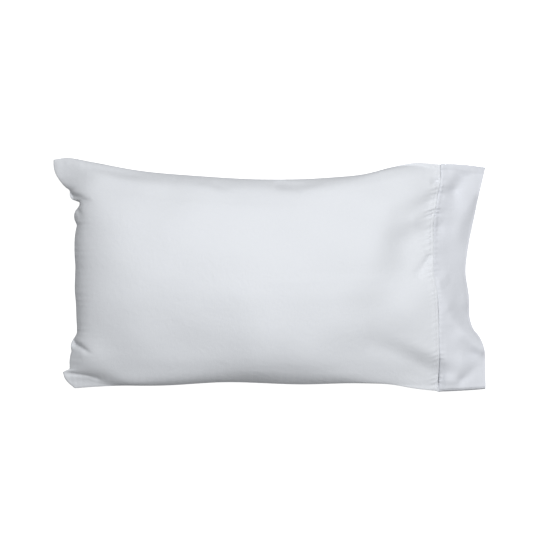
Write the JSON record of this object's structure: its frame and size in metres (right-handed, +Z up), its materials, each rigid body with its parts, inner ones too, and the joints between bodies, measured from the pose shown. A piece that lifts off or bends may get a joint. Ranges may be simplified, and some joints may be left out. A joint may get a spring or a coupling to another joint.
{
  "type": "filled pillowcase",
  "caption": "Long white cotton pillowcase with a pillow in it, lying on its back, its deep cuff open at one end",
  "frame": {"origin": "under the middle of the whole case, on the surface that it lies on", "axes": "+X from the sewn end to the open mouth, +Y across the case to the far side seam, +Z up out of its face"},
  "size_m": [0.9177, 0.4934, 0.1745],
  "materials": {
    "body_cotton": "plain-woven white cotton, smooth and matt, with a faint cool tint",
    "cuff_cotton": "the same white cotton folded double, matt, with a topstitched seam"
  },
  "bodies": {
    "root": {"case_body": "body_cotton", "cuff": "cuff_cotton"}
  },
  "joints": []
}
